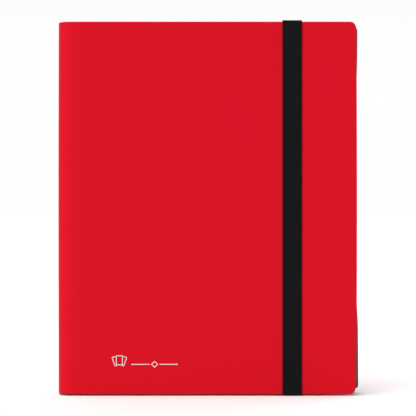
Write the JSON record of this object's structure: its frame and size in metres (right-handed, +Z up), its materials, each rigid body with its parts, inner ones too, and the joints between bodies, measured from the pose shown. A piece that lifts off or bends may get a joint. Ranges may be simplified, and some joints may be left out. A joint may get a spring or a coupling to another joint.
{
  "type": "trading card binder",
  "caption": "Red side-loading card binder with a creased wrap-round cover, rounded spine, clear-pocket pages bound in the spine and a black elastic closing strap.",
  "frame": {"origin": "middle of the rectangle that the closed binder fills, on the surface that it stands on", "axes": "+Z up along the spine, front cover facing -Y, spine at -X and fore edge at +X"},
  "size_m": [0.2552, 0.0278, 0.3199],
  "materials": {
    "cover": "matte",
    "crease": "satin",
    "lining": "matte",
    "page": "satin",
    "film": "gloss",
    "foil": "satin",
    "binding": "matte",
    "adhesive": "satin",
    "elastic": "matte",
    "rivet": "satin",
    "washer": "satin"
  },
  "bodies": {
    "back_cover": {"back_cover": "cover", "back_lining": "lining", "strap_top": "elastic", "strap_bottom": "elastic", "strap_tail_top": "elastic", "strap_tail_bottom": "elastic", "strap_rivets": "rivet", "strap_washers": "washer"},
    "spine": {"spine": "cover", "front_crease_web": "crease", "rear_crease_web": "crease", "binding_strip": "binding", "binding_adhesive": "adhesive", "page_margins": "page"},
    "front_cover": {"front_cover": "cover", "front_lining": "lining", "foil_emblem": "foil"},
    "strap": {"strap_front": "elastic"},
    "page_01": {"page_01": "page", "pockets_01": "film"},
    "page_02": {"page_02": "page", "pockets_02": "film"},
    "page_03": {"page_03": "page", "pockets_03": "film"},
    "page_04": {"page_04": "page", "pockets_04": "film"},
    "page_05": {"page_05": "page", "pockets_05": "film"},
    "page_06": {"page_06": "page", "pockets_06": "film"},
    "page_07": {"page_07": "page", "pockets_07": "film"},
    "page_08": {"page_08": "page", "pockets_08": "film"},
    "page_09": {"page_09": "page", "pockets_09": "film"},
    "page_10": {"page_10": "page", "pockets_10": "film"},
    "page_11": {"page_11": "page", "pockets_11": "film"},
    "page_12": {"page_12": "page", "pockets_12": "film"},
    "page_13": {"page_13": "page", "pockets_13": "film"},
    "page_14": {"page_14": "page", "pockets_14": "film"},
    "page_15": {"page_15": "page", "pockets_15": "film"},
    "page_16": {"page_16": "page", "pockets_16": "film"},
    "page_17": {"page_17": "page", "pockets_17": "film"},
    "page_18": {"page_18": "page", "pockets_18": "film"},
    "page_19": {"page_19": "page", "pockets_19": "film"},
    "page_20": {"page_20": "page", "pockets_20": "film"}
  },
  "joints": [
    {"name": "rear_crease", "type": "hinge", "parent": "back_cover", "child": "spine", "pos_m": [-0.1151, 0.01195, 0], "axis": [0, 0, -1], "range_deg": [0, 90], "deforming": ["rear_crease_web"]},
    {"name": "front_crease", "type": "hinge", "parent": "spine", "child": "front_cover", "pos_m": [-0.1151, -0.01195, 0], "axis": [0, 0, -1], "range_deg": [0, 90], "deforming": ["front_crease_web"]},
    {"name": "strap_swing", "type": "hinge", "parent": "back_cover", "child": "strap", "pos_m": [0.0724, 0.00095, 0], "axis": [0, 0, 1], "range_deg": [0, 180], "deforming": ["strap_front", "strap_top", "strap_bottom"]},
    {"name": "page_01_bend", "type": "hinge", "parent": "spine", "child": "page_01", "pos_m": [-0.1129, -0.01017, 0], "axis": [0, 0, -1], "range_deg": [0, 88], "deforming": ["page_margins"]},
    {"name": "page_02_bend", "type": "hinge", "parent": "spine", "child": "page_02", "pos_m": [-0.11257, -0.0091, 0], "axis": [0, 0, -1], "range_deg": [0, 87]},
    {"name": "page_03_bend", "type": "hinge", "parent": "spine", "child": "page_03", "pos_m": [-0.11224, -0.00802, 0], "axis": [0, 0, -1], "range_deg": [0, 86]},
    {"name": "page_04_bend", "type": "hinge", "parent": "spine", "child": "page_04", "pos_m": [-0.11191, -0.00696, 0], "axis": [0, 0, -1], "range_deg": [0, 85]},
    {"name": "page_05_bend", "type": "hinge", "parent": "spine", "child": "page_05", "pos_m": [-0.11158, -0.00588, 0], "axis": [0, 0, -1], "range_deg": [0, 84]},
    {"name": "page_06_bend", "type": "hinge", "parent": "spine", "child": "page_06", "pos_m": [-0.11125, -0.00481, 0], "axis": [0, 0, -1], "range_deg": [0, 83]},
    {"name": "page_07_bend", "type": "hinge", "parent": "spine", "child": "page_07", "pos_m": [-0.11092, -0.00375, 0], "axis": [0, 0, -1], "range_deg": [0, 82]},
    {"name": "page_08_bend", "type": "hinge", "parent": "spine", "child": "page_08", "pos_m": [-0.11059, -0.00267, 0], "axis": [0, 0, -1], "range_deg": [0, 81]},
    {"name": "page_09_bend", "type": "hinge", "parent": "spine", "child": "page_09", "pos_m": [-0.11026, -0.00161, 0], "axis": [0, 0, -1], "range_deg": [0, 80]},
    {"name": "page_10_bend", "type": "hinge", "parent": "spine", "child": "page_10", "pos_m": [-0.10993, -0.00053, 0], "axis": [0, 0, -1], "range_deg": [0, 79]},
    {"name": "page_11_bend", "type": "hinge", "parent": "spine", "child": "page_11", "pos_m": [-0.10993, 0.00053, 0], "axis": [0, 0, -1], "range_deg": [-79, 0]},
    {"name": "page_12_bend", "type": "hinge", "parent": "spine", "child": "page_12", "pos_m": [-0.11026, 0.00161, 0], "axis": [0, 0, -1], "range_deg": [-80, 0]},
    {"name": "page_13_bend", "type": "hinge", "parent": "spine", "child": "page_13", "pos_m": [-0.11059, 0.00267, 0], "axis": [0, 0, -1], "range_deg": [-81, 0]},
    {"name": "page_14_bend", "type": "hinge", "parent": "spine", "child": "page_14", "pos_m": [-0.11092, 0.00375, 0], "axis": [0, 0, -1], "range_deg": [-82, 0]},
    {"name": "page_15_bend", "type": "hinge", "parent": "spine", "child": "page_15", "pos_m": [-0.11125, 0.00481, 0], "axis": [0, 0, -1], "range_deg": [-83, 0]},
    {"name": "page_16_bend", "type": "hinge", "parent": "spine", "child": "page_16", "pos_m": [-0.11158, 0.00588, 0], "axis": [0, 0, -1], "range_deg": [-84, 0]},
    {"name": "page_17_bend", "type": "hinge", "parent": "spine", "child": "page_17", "pos_m": [-0.11191, 0.00696, 0], "axis": [0, 0, -1], "range_deg": [-85, 0]},
    {"name": "page_18_bend", "type": "hinge", "parent": "spine", "child": "page_18", "pos_m": [-0.11224, 0.00802, 0], "axis": [0, 0, -1], "range_deg": [-86, 0]},
    {"name": "page_19_bend", "type": "hinge", "parent": "spine", "child": "page_19", "pos_m": [-0.11257, 0.0091, 0], "axis": [0, 0, -1], "range_deg": [-87, 0]},
    {"name": "page_20_bend", "type": "hinge", "parent": "spine", "child": "page_20", "pos_m": [-0.1129, 0.01017, 0], "axis": [0, 0, -1], "range_deg": [-88, 0]}
  ],
  "couplings": [
    {"joint": "front_crease", "follows": "rear_crease", "ratio": 1},
    {"joint": "strap_swing", "follows": "rear_crease", "ratio": 2},
    {"joint": "page_01_bend", "follows": "rear_crease", "ratio": 0.97778},
    {"joint": "page_02_bend", "follows": "rear_crease", "ratio": 0.96667},
    {"joint": "page_03_bend", "follows": "rear_crease", "ratio": 0.95556},
    {"joint": "page_04_bend", "follows": "rear_crease", "ratio": 0.94444},
    {"joint": "page_05_bend", "follows": "rear_crease", "ratio": 0.93333},
    {"joint": "page_06_bend", "follows": "rear_crease", "ratio": 0.92222},
    {"joint": "page_07_bend", "follows": "rear_crease", "ratio": 0.91111},
    {"joint": "page_08_bend", "follows": "rear_crease", "ratio": 0.9},
    {"joint": "page_09_bend", "follows": "rear_crease", "ratio": 0.88889},
    {"joint": "page_10_bend", "follows": "rear_crease", "ratio": 0.87778},
    {"joint": "page_11_bend", "follows": "rear_crease", "ratio": -0.87778},
    {"joint": "page_12_bend", "follows": "rear_crease", "ratio": -0.88889},
    {"joint": "page_13_bend", "follows": "rear_crease", "ratio": -0.9},
    {"joint": "page_14_bend", "follows": "rear_crease", "ratio": -0.91111},
    {"joint": "page_15_bend", "follows": "rear_crease", "ratio": -0.92222},
    {"joint": "page_16_bend", "follows": "rear_crease", "ratio": -0.93333},
    {"joint": "page_17_bend", "follows": "rear_crease", "ratio": -0.94444},
    {"joint": "page_18_bend", "follows": "rear_crease", "ratio": -0.95556},
    {"joint": "page_19_bend", "follows": "rear_crease", "ratio": -0.96667},
    {"joint": "page_20_bend", "follows": "rear_crease", "ratio": -0.97778}
  ]
}
